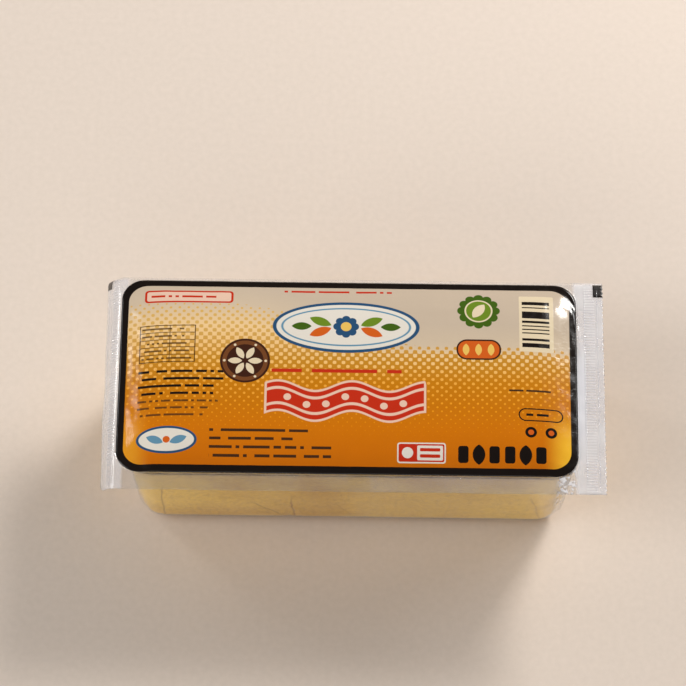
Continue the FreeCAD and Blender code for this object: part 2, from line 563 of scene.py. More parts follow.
class Shader:
    """One material and the nodes in it."""

    def __init__(self, name: str) -> None:
        """Start an empty material.

        Args:
            name: Name of the material.
        """
        self.material = bpy.data.materials.new(name)
        self.material.use_nodes = True
        self.tree = self.material.node_tree
        self.tree.nodes.clear()
        self.output = self.tree.nodes.new("ShaderNodeOutputMaterial")

    def node(self, kind: str, settings: Optional[dict] = None, inputs: Optional[dict] = None) -> bpy.types.Node:
        """Add a node.

        Args:
            kind: Type of the node.
            settings: Its properties, set before its sockets; "stops" sets a ramp's stops.
            inputs: Socket name or number to a plain value, a Signal or a socket.

        Returns:
            The new node.
        """
        node = self.tree.nodes.new(kind)
        for key, setting in (settings or {}).items():
            if key == "stops":
                self._set_stops(node, setting)
            else:
                setattr(node, key, setting)
        for key, value in (inputs or {}).items():
            if isinstance(value, Signal):
                value = value.socket
            if isinstance(value, Socket):
                self.tree.links.new(value, node.inputs[key])
            else:
                node.inputs[key].default_value = value
        return node

    @staticmethod
    def _set_stops(node: bpy.types.Node, stops: Sequence[tuple[float, Rgba]]) -> None:
        """Give a colour ramp its stops.

        Args:
            node: The ramp.
            stops: Place and colour of each stop.
        """
        elements = node.color_ramp.elements
        while len(elements) > 1:
            elements.remove(elements[-1])
        elements[0].position, elements[0].color = stops[0]
        for position, colour in stops[1:]:
            elements.new(position).color = colour

    def signal(self, socket: Socket) -> Signal:
        """Wrap a socket for arithmetic."""
        return Signal(self, socket)

    def math(self, operation: str, *values: Value) -> Signal:
        """Add a Math node that works on the values in order."""
        return self.signal(self.node("ShaderNodeMath", {"operation": operation}, dict(enumerate(values))).outputs[0])

    def vector(self, operation: str, *values: object) -> Socket:
        """Add a Vector Math node that works on the values in order."""
        return self.node("ShaderNodeVectorMath", {"operation": operation}, dict(enumerate(values))).outputs[0]

    def length(self, vector: Socket) -> Signal:
        """Length of a vector."""
        node = self.node("ShaderNodeVectorMath", {"operation": "LENGTH"}, {0: vector})
        return self.signal(node.outputs["Value"])

    def axes(self, place: Socket) -> list[Signal]:
        """The three coordinates of a place."""
        return [self.signal(socket) for socket in self.node("ShaderNodeSeparateXYZ", {}, {0: place}).outputs]

    def millimetres(self, middle: Vector) -> Socket:
        """Object coordinates in millimetres from a middle point."""
        centred = self.vector("SUBTRACT", self.node("ShaderNodeTexCoord").outputs["Object"], tuple(middle))
        return self.vector("MULTIPLY", centred, (1 / MM, 1 / MM, 1 / MM))

    def noise(self, place: Socket, scale: float, detail: float = 3.0, stretch: Colour = (1, 1, 1)) -> Signal:
        """Noise from 0 to 1.

        Args:
            place: Coordinates.
            scale: Noise cells for each unit of the coordinates.
            detail: Octaves.
            stretch: Factors on the three coordinates.

        Returns:
            The noise.
        """
        node = self.node("ShaderNodeTexNoise", {}, {
            "Vector": self.vector("MULTIPLY", place, stretch), "Scale": scale, "Detail": detail, "Roughness": 0.5})
        return self.signal(node.outputs["Fac"])

    def blend(self, factor: Value, first: object, second: object) -> Socket:
        """Mix two colours by a factor."""
        return self.node("ShaderNodeMix", {"data_type": "RGBA"}, {0: factor, 6: first, 7: second}).outputs[2]

    def bump(self, height: Signal, distance: float, **below: Socket) -> Socket:
        """Normal of a surface raised by a height from 0 to 1 times a distance, over the normal below it, if any."""
        return self.node("ShaderNodeBump", {}, {"Height": height, "Distance": distance, **below}).outputs["Normal"]

    def finish(self, surface: bpy.types.Node) -> bpy.types.Material:
        """Link the surface and hand the material over."""
        self.tree.links.new(surface.outputs[0], self.output.inputs["Surface"])
        return self.material


# Print
class Ink(Enum):
    """Colours of the lid's print."""

    BLACK = linear(22, 14, 9)
    DARK = linear(66, 40, 18)
    RED = linear(190, 44, 18)
    PINK = linear(226, 190, 168)
    ORANGE = linear(205, 92, 26)
    BLUE = linear(38, 76, 112)
    SKY = linear(96, 140, 165)
    WHITE = linear(222, 215, 203)
    GREEN = linear(62, 92, 18)
    LEAF = linear(104, 132, 32)
    BROWN = linear(60, 30, 17)
    WOOD = linear(112, 66, 34)
    CREAM = linear(222, 204, 172)
    BUTTER = linear(228, 186, 92)


@dataclass
class PrintSheet:
    """Plain artwork painted shape by shape over a ground colour, in millimetres."""

    shader: Shader
    place: Socket
    colour: object = None
    softness: float = 0.14

    def _from(self, x: float, y: float) -> Socket:
        """Coordinates from a middle."""
        return self.shader.vector("SUBTRACT", self.place, (x, y, 0))

    def box(self, x: float, y: float, width: float, height: float, radius: float = 0.0) -> Signal:
        """Mask of a rounded box.

        Args:
            x: Its middle along the pack.
            y: Its middle across it.
            width: Size along the pack.
            height: Size across it.
            radius: Corner radius.

        Returns:
            The mask.
        """
        reach = (max(width / 2 - radius, 0), max(height / 2 - radius, 0), 1e4)
        outside = self.shader.vector("SUBTRACT", self.shader.vector("ABSOLUTE", self._from(x, y)), reach)
        distance = self.shader.length(self.shader.vector("MAXIMUM", outside, (0, 0, 0)))
        return distance.edge(max(radius, self.softness / 2), self.softness)

    def disc(self, x: float, y: float, width: float, height: Optional[float] = None) -> Signal:
        """Mask of a disc about a middle, or of an ellipse if a height is given."""
        height = height or width
        scaled = self.shader.vector("MULTIPLY", self._from(x, y), (2 / width, 2 / height, 0))
        return self.shader.length(scaled).edge(1.0, 2 * self.softness / min(width, height))

    def leaf(self, x: float, y: float, length: float, width: float, turn: float) -> Signal:
        """Mask of a pointed leaf.

        Args:
            x: Its middle along the pack.
            y: Its middle across it.
            length: Length from point to point.
            width: Greatest width.
            turn: Turn in degrees.

        Returns:
            The mask.
        """
        turned = self.shader.node("ShaderNodeVectorRotate", {"rotation_type": "Z_AXIS"},
                                  {"Vector": self._from(x, y), "Angle": -math.radians(turn)}).outputs[0]
        rise = (length * length - width * width) / (4 * width)
        reach = self.shader.vector("ADD", self.shader.vector("ABSOLUTE", turned), (0, rise, 0))
        return self.shader.length(reach).edge(rise + width / 2, self.softness)

    def union(self, masks: Iterable[Signal]) -> Signal:
        """Mask of several shapes together."""
        together, *others = masks
        for mask in others:
            together = together.largest(mask)
        return together

    def wreath(self, x: float, y: float, reach: float, count: int, size: float) -> Signal:
        """Mask of discs of one size, evenly round a middle at a reach from it."""
        angles = [2 * math.pi * step / count for step in range(count)]
        return self.union(self.disc(x + reach * math.cos(turn), y + reach * math.sin(turn), size) for turn in angles)

    def paint(self, mask: Signal, ink: Ink) -> None:
        """Lay an ink over what is painted so far."""
        self.colour = self.shader.blend(mask, self.colour, ink.value)

    def nest(self, shape: Callable[..., Signal], x: float, y: float, *layers: tuple) -> None:
        """Paint shapes about one middle, each given as its ink and its sizes."""
        for ink, *size in layers:
            self.paint(shape(x, y, *size), ink)

    def axes(self) -> list[Signal]:
        """The two coordinates of the sheet."""
        return self.shader.axes(self.place)[:2]

    def scatter(self, along: Value, row: Value) -> Signal:
        """Fixed random value from 0 to 1 for each whole cell."""
        cell = self.shader.node("ShaderNodeCombineXYZ", {}, {0: along, 1: row}).outputs[0]
        node = self.shader.node("ShaderNodeTexWhiteNoise", {"noise_dimensions": "2D"}, {"Vector": cell})
        return self.shader.signal(node.outputs["Value"])

    def small_print(self, ink: Ink, x: float, y: float, width: float, rows: int, pitch: float, height: float,
                    seed: float, cover: float = 1.0) -> None:
        """Paint rows of short plain bars in the place of small print.

        Args:
            ink: Their colour.
            x: Left end of the rows.
            y: Top of the first row.
            width: Greatest length of a row.
            rows: Number of rows.
            pitch: Distance from row to row.
            height: Height of a row; the bars are half as high.
            seed: Sets where the gaps are.
            cover: How well the ink covers.
        """
        across, up = self.axes()
        line = (y - up) / pitch
        row = line.floor() + seed
        level = line.fraction() - 0.5
        words = self.scatter(((across - x) / (0.7 * height)).floor(), row).over(0.2)
        bar = abs(level).edge(height / pitch * 0.27, 0.06)
        length = self.scatter(row, seed + 7).ramp(0, 1, 0.74 * width, 1.1 * width)
        inside = self.box(x + width / 2, y - rows * pitch / 2, width, rows * pitch)
        mask = inside * bar * words * (across - x).under(length)
        self.paint(mask * cover if cover < 1 else mask, ink)


@dataclass
class LidArtwork(PrintSheet):
    """The lid's print: cream going to gold through a dot screen, plain artwork and a black border."""

    span: float = 96.0
    screen_top: float = 37.0
    screen_top_right: float = 15.5
    dot_pitch: float = 4.0
    pale: tuple[tuple[float, int, int, int], ...] = (
        (0.0, 210, 118, 2), (0.22, 220, 132, 5), (0.34, 230, 148, 24), (0.46, 234, 165, 62),
        (0.58, 238, 186, 106), (0.76, 234, 198, 144), (0.88, 204, 184, 158), (1.0, 194, 176, 155))
    gold: tuple[tuple[float, int, int, int], ...] = (
        (0.0, 194, 102, 1), (0.10, 202, 108, 1), (0.22, 204, 113, 1), (0.34, 196, 114, 3),
        (0.46, 194, 120, 10), (0.58, 194, 134, 38), (0.76, 212, 168, 92))

    def ground(self) -> None:
        """Cream at the back edge, gold at the front, and the dot screen between them, with a painted yellow glow near
        the front corners, strongest at the right.
        """
        shader = self.shader
        across, up = self.axes()
        top = across.ramp(-58, 34, self.screen_top, self.screen_top_right)
        height = (up + self.span / 2) / self.span
        lifted = (self.screen_top - top) / self.span * up.ramp(-2, 16) + height
        pale, gold = (shader.node("ShaderNodeValToRGB", {"stops": [(stop, linear(*colour)) for stop, *colour in stops]},
                                  {0: place}).outputs[0] for stops, place in ((self.pale, lifted), (self.gold, height)))
        tone = ((self.screen_top - up) / 58.0).largest(0.0) ** 0.75 * 0.84 + 0.16
        tone = tone * (top - up).ramp(0.0, 6.0, 0.5, 1.0)
        turn = 2 * math.pi / self.dot_pitch
        first = ((across + up) * turn).cosine()
        second = ((across - up) * turn).cosine()
        screen = (first + second) * 0.25 + 0.5
        dots = (1 - screen - tone * 0.88 - 0.03).edge(0.0, 0.09) * (top - up).over(0.3)
        ground = shader.blend(dots, pale, gold)
        # Painted highlight: the gold is lightened to bright yellow near the front corners, strongest at the right, in
        # place of light shining through the film there.
        corners = across.ramp(84, 97).largest(across.ramp(-88, -98) * 0.4) * up.ramp(-12, -34)
        self.colour = shader.blend(corners * 0.8, ground, linear(250, 196, 52))

    def plaque(self) -> None:
        """White and blue oval plaque with a plain flower and leaves, over a broad red wave."""
        across, up = self.axes()
        x, y = -3, 24.5
        self.nest(self.disc, x, y, (Ink.BLUE, 66, 27), (Ink.WHITE, 62.6, 24), (Ink.SKY, 58.4, 20.4),
                  (Ink.WHITE, 56.4, 18.8))
        for ink, reach, rise, length, width, turn in (
                (Ink.LEAF, 11.5, 2.6, 10.5, 4.4, 22), (Ink.ORANGE, 11.5, -2.8, 10.5, 4.4, -22),
                (Ink.GREEN, 20, 0, 9.0, 4.0, 0)):
            self.paint(self.union(self.leaf(x + side * reach, y + rise, length, width, side * turn)
                                  for side in (-1, 1)), ink)
        self.paint(self.wreath(x, y, 3.9, 8, 3.8), Ink.BLUE)
        self.paint(self.disc(x, y, 4.8), Ink.BUTTER)
        self.small_print(Ink.RED, -31, 46.2, 62, 1, 4.0, 2.2, 61.0)
        self.small_print(Ink.RED, -36, 4.2, 66, 1, 5.0, 3.2, 43.0)
        y, swing, pace = -13.5, 2.6, 0.19
        wave = abs(up - y - (across * pace).cosine() * swing)
        self.paint(self.box(x, y, 72, 30, 7.0) * wave.edge(8.0, 0.3), Ink.PINK)
        span = self.box(x, y, 70, 30, 6.0)
        self.paint(span * wave.edge(6.9, 0.3), Ink.RED)
        self.paint(span * (wave.edge(4.6, 0.3) - wave.edge(3.2, 0.3)).largest(0.0), Ink.PINK)
        self.paint(self.union(self.disc(middle, y + swing * math.cos(middle * pace), 3.4)
                              for middle in (x + step * 8.6 for step in range(-3, 4))), Ink.PINK)

    def left_column(self) -> None:
        """Pale bar, ruled table, small print and a carved rosette."""
        across, up = self.axes()
        self.nest(self.box, -74, 40.4, (Ink.RED, 40, 7.2, 1.7), (Ink.PINK, 38, 5.4, 1.0))
        self.small_print(Ink.RED, -91, 42.2, 34, 1, 3.6, 2.2, 71.0)
        table = self.box(-83, 15, 25, 19)
        rows = abs(((up - 5.5) / 3.8).fraction() - 0.5).over(0.44)
        self.paint(table * rows.largest(abs(across + 82).under(0.2)) * 0.75, Ink.DARK)
        self.paint((table - self.box(-83, 15, 24.2, 18.2)).largest(0.0), Ink.DARK)
        self.small_print(Ink.DARK, -94.5, 24.5, 23, 5, 3.8, 1.6, 3.0, 0.85)
        self.small_print(Ink.BLACK, -95.5, 2.6, 38, 4, 3.7, 2.3, 11.0)
        self.small_print(Ink.DARK, -95.5, -12.4, 36, 3, 3.5, 1.9, 19.0, 0.85)
        x, y = -48, 6.4
        self.nest(self.disc, x, y, (Ink.BROWN, 22.4), (Ink.WOOD, 20.4), (Ink.BROWN, 16.6))
        self.paint(self.union(self.leaf(x + 4.5 * math.cos(math.radians(turn)), y + 4.5 * math.sin(math.radians(turn)),
                                        6.4, 3.0, turn) for turn in range(0, 360, 60)), Ink.CREAM)
        self.paint(self.wreath(x, y, 9.25, 6, 1.2), Ink.CREAM)

    def right_column(self) -> None:
        """Round seal, amber lozenge and a stripe block."""
        x, y = 56.5, 34.0
        self.paint(self.wreath(x, y, 7.4, 12, 4.4).largest(self.disc(x, y, 15.6)), Ink.GREEN)
        self.nest(self.disc, x, y, (Ink.CREAM, 12.6), (Ink.LEAF, 11.2))
        self.paint(self.leaf(x, y, 9.0, 4.6, 55), Ink.CREAM)
        self.nest(self.box, x, 13.5, (Ink.BROWN, 20, 10.4, 4.8), (Ink.ORANGE, 18.4, 8.8, 4.0))
        self.paint(self.union(self.leaf(50.8 + step * 5.6, 13.5, 6.0, 3.0, 90) for step in range(3)), Ink.BUTTER)
        self.paint(self.box(82.5, 28, 15.5, 30, 0.6), Ink.CREAM)
        _, up = self.axes()
        bars = self.scatter((up / 0.62).floor(), 3.0).over(0.46)
        self.paint(self.box(82.2, 28, 12.2, 25.5) * bars, Ink.BLACK)
        self.small_print(Ink.DARK, 70, -5.4, 24, 1, 3.2, 1.8, 83.0)

    def foot(self) -> None:
        """Marks along the front edge."""
        x, y = -82, -33.2
        self.nest(self.disc, x, y, (Ink.BLUE, 27, 13), (Ink.WHITE, 24.6, 10.8))
        self.paint(self.union(self.leaf(x + side * 5.2, y, 8.0, 3.6, side * 20) for side in (-1, 1)), Ink.SKY)
        self.paint(self.disc(x, y, 3.2), Ink.ORANGE)
        self.small_print(Ink.DARK, -63, -26.6, 54, 4, 3.9, 2.4, 27.0)
        self.nest(self.box, 31, -38, (Ink.WHITE, 21.5, 9.2, 1.2), (Ink.RED, 20.3, 8.0, 0.8))
        self.paint(self.box(34.8, -38, 11.4, 6.6, 0.6), Ink.WHITE)
        self.paint(self.box(34.8, -36.6, 9, 1.5, 0.5).largest(self.box(34.8, -39.4, 9, 1.5, 0.5)), Ink.RED)
        self.paint(self.disc(24.8, -38, 5.0), Ink.WHITE)
        self.paint(self.union(
            self.leaf(middle, -38.4, 9.0, 5.6, 90) if step % 3 == 1 else self.box(middle, -38.4, 4.6, 7.6, 1.2)
            for step, middle in enumerate(49.5 + 6.9 * step for step in range(6))), Ink.BLACK)
        self.paint((self.box(84, -19, 20, 6.4, 3.2) - self.box(84, -19, 18.8, 5.2, 2.6)).largest(0.0), Ink.BLACK)
        self.small_print(Ink.BLACK, 77.5, -17.4, 13, 1, 3.2, 2.2, 91.0)
        for size, ink in ((5.2, Ink.BLACK), (2.6, Ink.ORANGE)):
            self.paint(self.union(self.disc(x, -27.6, size) for x in (79.5, 88.5)), ink)

    def border(self, length: float, width: float, radius: float, shift: Point, line: float) -> None:
        """Black border with rounded corners, all the way out to the edge of the print.

        Args:
            length: Size of the print along X, in metres like the rest.
            width: Size of the print along Y.
            radius: Its corner radius.
            shift: Place of its middle.
            line: Width of the border.
        """
        inner = self.box(shift[0] / MM, shift[1] / MM, (length - 2 * line) / MM, (width - 2 * line) / MM,
                         (radius - line * 0.6) / MM)
        self.paint(1 - inner, Ink.BLACK)


# Finishes
@dataclass(frozen=True)
class FilmWrinkles:
    """Fine relief of thin film drawn over soft food."""

    middle: Vector
    puckers: float = 0.10 * MM
    creases: float = 0.015 * MM

    def normal(self, shader: Shader, place: Socket) -> Socket:
        """Normal with long puckers and short creases.

        Args:
            shader: The material.
            place: Coordinates in millimetres.

        Returns:
            The normal.
        """
        warp = shader.noise(place, 0.05, 2.0)
        pucker = shader.noise(place, 0.11, 2.0, (1.0, 0.35, 1.0))
        crease = abs(shader.noise(place, 0.16, 3.0, (0.5, 1.0, 0.8)) - 0.5)
        sharp = crease.ramp(0.0, 0.05, 1.0, 0.0) * warp
        first = shader.bump(pucker, self.puckers * 6)
        return shader.bump(sharp, self.creases * 2, Normal=first)


@dataclass(frozen=True)
class ClearFilm:
    """Clear glossy film: see-through along its sides, milky and ribbed where its ends are sealed."""

    sizes: PackSizes
    name: str = "clear_film"
    haze: float = 0.03
    sealed_haze: float = 0.27
    loose_haze: float = 0.0
    glare: float = 0.035
    relief: float = 0.16 * MM
    rib_pitch: float = 1.4
    end_shift: float = 0.9

    def build(self) -> bpy.types.Material:
        """Make the material.

        Returns:
            The material.
        """
        shader = Shader(self.name)
        place = shader.millimetres(self.sizes.middle)
        along, across, _ = shader.axes(place)
        cloud = shader.noise(place, 0.07, 1.0)
        outside = abs(along + self.end_shift) - self.sizes.pocket_length / MM / 2
        sealed = outside.ramp(-1.0, 1.2)
        band = outside.ramp(4.2, 4.8) * outside.ramp(9.6, 9.0)
        ribs = ((across * (2 * math.pi / self.rib_pitch)).cosine() * 0.5 + 0.5) * band
        height = cloud * 1.8 + ribs * 0.45
        normal = shader.bump(height, self.relief)
        sealed_milk = sealed * along.over(0).ramp(0, 1, 0.72, 1.0) * self.sealed_haze
        milk = (sealed_milk + self.haze) * cloud.ramp(0.35, 0.7, 0.75, 1.25) + ribs * 0.09
        strip = outside.ramp(0.2, 1.2) * outside.ramp(5.6, 3.6) * across.ramp(24, 4) * across.ramp(-48, -14)
        milk = milk + strip * along.over(0) * (self.sealed_haze * 1.6)
        if self.loose_haze:
            drift = along + cloud * 60
            # Whiter film where it gathers into a web at the right front corner: partly the film's own whitening, partly
            # a painted highlight in place of light glinting through its folds.
            web_whitening_and_glints = shader.noise(place, 0.35, 1.0, (1.6, 1.6, 0.3)).ramp(0.47, 0.56)
            corner = outside.ramp(-9.0, -5.0) * across.ramp(-36, -42) * outside.ramp(0.5, -1.0) * along.over(0)
            milk = milk + drift.ramp(28, 40) * self.loose_haze + corner * web_whitening_and_glints * (self.loose_haze * 24)
        milky = shader.node("ShaderNodeBsdfPrincipled", {}, {
            "Base Color": shader.blend(cloud, linear(232, 232, 240), linear(246, 244, 244)),
            "Roughness": 0.45, "Specular IOR Level": 0.2, "Normal": normal})
        clear = shader.node("ShaderNodeBsdfTransparent", {}, {"Color": (0.985, 0.985, 0.985, 1)})
        body = shader.node("ShaderNodeMixShader", {}, {0: milk, 1: clear.outputs[0], 2: milky.outputs[0]})
        glare = shader.node("ShaderNodeBsdfGlossy", {}, {"Color": (1, 1, 1, 1), "Roughness": 0.1, "Normal": normal})
        facing = shader.node("ShaderNodeLayerWeight", {}, {"Blend": 0.5, "Normal": normal})
        grazing = shader.signal(facing.outputs["Facing"])
        square = grazing * grazing
        return shader.finish(shader.node("ShaderNodeMixShader", {}, {
            0: square * square * grazing * 0.9 + self.glare, 1: body.outputs[0], 2: glare.outputs[0]}))


@dataclass(frozen=True)
class ButterFinish:
    """Pale yellow butter, soft and slightly translucent, with working marks and lines left by folds of film, and
    painted shade darkening those lines and small pits.

    A line is its place along the block, its slope, its top and its strength.
    """

    sizes: PackSizes
    pale: Rgba = linear(250, 212, 98)
    deep: Rgba = linear(198, 148, 44)
    shade: Rgba = linear(146, 94, 26)
    wander: float = 7.0
    waver: float = 2.0
    pit_shade_strength: float = 0.14
    lines: tuple[tuple[float, float, float, float], ...] = (
        (-85.0, -0.04, 46.0, 0.55), (-26.0, 0.02, 34.0, 0.7), (-25.0, 0.78, 30.0, 0.6),
        (-61.0, 0.9, 26.0, 0.2), (5.0, 0.5, 30.0, 0.3), (41.0, -0.2, 26.0, 0.15), (88.0, 0.2, 40.0, 0.3))

    def build(self) -> bpy.types.Material:
        """Make the material.

        Returns:
            The material.
        """
        shader = Shader("butter")
        place = shader.millimetres(self.sizes.middle)
        along, _, up = shader.axes(place)
        clouds = shader.noise(place, 0.03, 4.0, (0.6, 1.0, 1.0))
        grain = shader.noise(place, 0.7, 4.0)
        marks = shader.noise(place, 0.09, 3.0, (0.3, 1.0, 2.2))
        pit_shade = shader.noise(place, 0.42, 3.0).ramp(0.55, 0.64)
        crease_relief_and_shade: Value = 0.0
        for start, slope, top, strength in self.lines:
            away = (along - start + up * slope) + (clouds - 0.5) * self.wander + (marks - 0.5) * self.waver
            crease_relief_and_shade = (abs(away).edge(0.35, 0.6) * up.ramp(top, top - 12) * strength).largest(crease_relief_and_shade)
        tone = clouds.ramp(0.38, 0.62) * 0.45 + grain.ramp(0.40, 0.60) * 0.25 + abs(along + 5).ramp(25, 96) * 0.25
        base = shader.blend(tone, self.deep, self.pale)
        # Painted shade: the crease lines and small pits are mixed toward the shade colour.
        base = shader.blend((crease_relief_and_shade + pit_shade * self.pit_shade_strength).smallest(1.0), base, self.shade)
        height = marks * 1.0 + grain * 0.3 - crease_relief_and_shade * 1.2
        return shader.finish(shader.node("ShaderNodeBsdfPrincipled", {}, {
            "Base Color": base, "Roughness": grain.ramp(0.2, 0.8, 0.42, 0.58), "Subsurface Weight": 0.08,
            "Subsurface Radius": (0.9, 0.6, 0.25), "Subsurface Scale": 0.8 * MM,
            "Normal": shader.bump(height, 0.3 * MM)}))


@dataclass(frozen=True)
class PrintFinish:
    """Glossy printed film."""

    sizes: PackSizes
    border_edge: tuple[float, float, float, Point]
    border_width: float

    def build(self) -> bpy.types.Material:
        """Make the material.

        Returns:
            The material.
        """
        shader = Shader("lid_print")
        place = shader.millimetres(self.sizes.middle)
        sheet = LidArtwork(shader, shader.vector("MULTIPLY", place, (1, 1, 0)))
        for paint_part in (sheet.ground, sheet.plaque, sheet.left_column, sheet.right_column, sheet.foot):
            paint_part()
        sheet.border(*self.border_edge, self.border_width)
        wear = shader.noise(place, 0.4, 3.0)
        return shader.finish(shader.node("ShaderNodeBsdfPrincipled", {}, {
            "Base Color": sheet.colour, "Roughness": wear.ramp(0.2, 0.8, 0.13, 0.21),
            "Specular IOR Level": 0.35, "Coat Weight": 0.15, "Coat Roughness": 0.08,
            "Normal": FilmWrinkles(self.sizes.middle).normal(shader, place)}))


@dataclass(frozen=True)
class GrainFinish:
    """Plain surface with a fine grain in its colour and its gloss."""

    name: str
    first: Rgba
    second: Rgba
    roughness: Point
    scale: float
    detail: float = 3.0
    contrast: Optional[Point] = None

    def build(self) -> bpy.types.Material:
        """Make the material.

        Returns:
            The material.
        """
        shader = Shader(self.name)
        grain = shader.noise(shader.millimetres(Vector()), self.scale, self.detail)
        share = grain.ramp(*self.contrast) if self.contrast else grain
        return shader.finish(shader.node("ShaderNodeBsdfPrincipled", {}, {
            "Base Color": shader.blend(share, self.first, self.second),
            "Roughness": grain.ramp(0.2, 0.8, *self.roughness)}))


# Pieces
@dataclass
class PackPart:
    """What every part of the pack is built from."""

    sizes: PackSizes
    shape: FilmShape
    plan: LoopPlan


@dataclass
class PocketPart(PackPart):
    """A part with the pocket's leaning walls and rounded floor edge."""

    @property
    def skin(self) -> float:
        """How far inside the pocket's outer face this part lies."""
        return 0.0

    def dent(self, x: float, y: float, height: float) -> float:
        """How far the wall is pressed in at a place; a plain wall isn't."""
        return 0.0

    def wall(self, inset: float, height: float) -> Loop:
        """Loop of the wall at a height, with its dents.

        Args:
            inset: Distance inside the mouth's outline.
            height: Height above the floor.

        Returns:
            The loop.
        """
        sizes = self.sizes
        radius = sizes.floor_radius + (sizes.mouth_radius - sizes.floor_radius) * (height / sizes.seal_height)
        inset += self.skin
        loop = []
        for x, y in self.plan.rounded(sizes.pocket_length - 2 * inset, sizes.pocket_width - 2 * inset,
                                      radius - self.skin):
            scale = 1 - self.dent(x, y, height) / math.hypot(x, y)
            loop.append(sizes.middle + Vector((x * scale, y * scale, height)))
        return loop

    def wall_loops(self, start: float, end: float, count: int) -> list[Loop]:
        """Loops of the leaning wall from one height to another, without the first."""
        heights = [start + (end - start) * step / count for step in range(1, count + 1)]
        return [self.wall(self.sizes.wall_inset(height), height) for height in heights]

    def floor_loops(self, shares: Sequence[float]) -> list[Loop]:
        """Loops of the rounded floor edge at shares of its turn."""
        places = [self.sizes.floor_edge_at(share) for share in shares]
        return [self.wall(inset, height + self.skin) for inset, height in places]


@dataclass
class ButterBlock(PocketPart):
    """The butter itself, a shade smaller than the film round it.

    A groove is its depth, place, slope, width, lower end and upper end, in millimetres.
    """

    gap: float = 0.05 * MM
    top_gap: float = 0.4 * MM
    slump: float = 0.22 * MM
    wall_count: int = 22
    top_insets: tuple[float, ...] = (1.0, 2.5, 5, 8, 12, 17, 23, 30, 38, 44)
    grooves: tuple[tuple[float, ...], ...] = (
        (0.6, 86.0, 0.0, 0.9, -9, 34), (0.5, 27.5, 0.05, 0.8, -9, 24),
        (0.4, 20.04, 0.54, 0.9, 2, 30), (0.35, -4.0, -0.5, 1.0, -9, 26))

    @property
    def skin(self) -> float:
        """How far inside the pocket's outer face this part lies."""
        return self.sizes.tray_film + self.gap

    def dent(self, x: float, y: float, height: float) -> float:
        """How deep the slump and the grooves that folds of film leave are at a place.

        Args:
            x: Place along the wall's outline.
            y: Place across it.
            height: Height above the floor.

        Returns:
            The depth.
        """
        run, up = x / MM, height / MM
        hollow = 0.5 + 0.5 * noise.noise(Vector((run / 17, y / MM / 9, up / 11)))
        if y > 0:
            run = 20 - run
        pressed = sum(depth * bell(run + start + slope * up, width) * smooth_step(low, low + 4, up)
                      * smooth_step(high, high - 8, up) for depth, start, slope, width, low, high in self.grooves)
        return self.slump * hollow + pressed * MM

    def build(self) -> Piece:
        """Model the block.

        Returns:
            The closed block.
        """
        sizes = self.sizes
        loops = self.floor_loops([step / 6 for step in range(7)])
        loops += self.wall_loops(sizes.foot, sizes.seal_height - self.top_gap, self.wall_count)
        for inset in (millimetres * MM for millimetres in self.top_insets):
            outline = self.plan.rounded(sizes.pocket_length - 2 * inset, sizes.pocket_width - 2 * inset,
                                        min(sizes.mouth_radius, sizes.pocket_width / 2 - inset - 0.5 * MM))
            loops.append(self.shape.laid(outline, -self.gap))
        return Modeller.loft("butter_block", loops, close_start=True, close_end=True)


@dataclass
class TrayFilm(PocketPart):
    """Clear film formed round the butter, with its flange and saw-tooth ends."""

    flange_rings: int = 13
    flare_steps: int = 3
    wall_count: int = 34
    floor_steps: int = 8
    gathers: tuple[Point, ...] = ((13.0, 0.55), (17.5, 0.3), (3.4, 0.5))
    near_slack: float = 3.2
    far_slack: float = 1.6

    def dent(self, x: float, y: float, height: float) -> float:
        """How far gathers at the corners and creases in the long walls lift the film, as a dent below 0.

        Args:
            x: Place along the wall's outline.
            y: Place across it.
            height: Height above the floor.

        Returns:
            The dent.
        """
        sizes = self.sizes
        low = sizes.seal_height - height
        corner_x = sizes.pocket_length / 2 - abs(x)
        corner_y = sizes.pocket_width / 2 - abs(y)
        lift = sum(reach * bell(corner_x - run * MM - 0.12 * low, 1.1 * MM) for run, reach in self.gathers)
        lift *= smooth_step(4 * MM, 26 * MM, low)
        slant = x + 27 * MM + (height - 20 * MM) * 0.7
        lift += 0.35 * bell(slant, 0.9 * MM) * bell(height - 18 * MM, 14 * MM) * (1 if y < 0 else 0.4)
        lift += 0.3 * bell(x + 25 * MM, 1.0 * MM) * bell(height - 12 * MM, 12 * MM)
        lift += 0.25 * noise.noise(Vector((x / MM / 6, y / MM / 6, height / MM / 22)))
        slack = self.near_slack if x > 0 > y else self.far_slack
        lift += slack * bell(corner_x - corner_y + 0.10 * low, 2.4 * MM) * bell(corner_x - 0.14 * low, 7 * MM)
        return -lift * MM * 0.5 * smooth_step(0.3 * MM, 9 * MM, height) * smooth_step(0, 2 * MM, low)

    def build(self) -> Piece:
        """Model the film.

        Returns:
            The film, with its thickness.
        """
        sizes = self.sizes
        rim = self.plan.rounded(sizes.pocket_length, sizes.pocket_width, sizes.mouth_radius)
        outer = self.plan.film_edge(sizes, False)
        flange = [self.plan.film_edge(sizes, True)]
        flange += [between(outer, rim, step / self.flange_rings) for step in range(self.flange_rings)]
        loops = [self.shape.laid(outline, -sizes.tray_film) for outline in flange]
        flare_foot = sizes.seal_height - sizes.tray_film - sizes.rim_flare
        for step in range(self.flare_steps, -1, -1):
            turn = math.pi / 2 * step / self.flare_steps
            loops.append(self.wall(sizes.wall_inset(flare_foot) - sizes.rim_flare * (1 - math.cos(turn)),
                                   flare_foot + sizes.rim_flare * math.sin(turn)))
        loops += self.wall_loops(flare_foot, sizes.foot, self.wall_count)
        loops += self.floor_loops([step / self.floor_steps for step in range(self.floor_steps - 1, -1, -1)])
        return Modeller.film("tray_film", loops, sizes.tray_film, -1, closed=True)


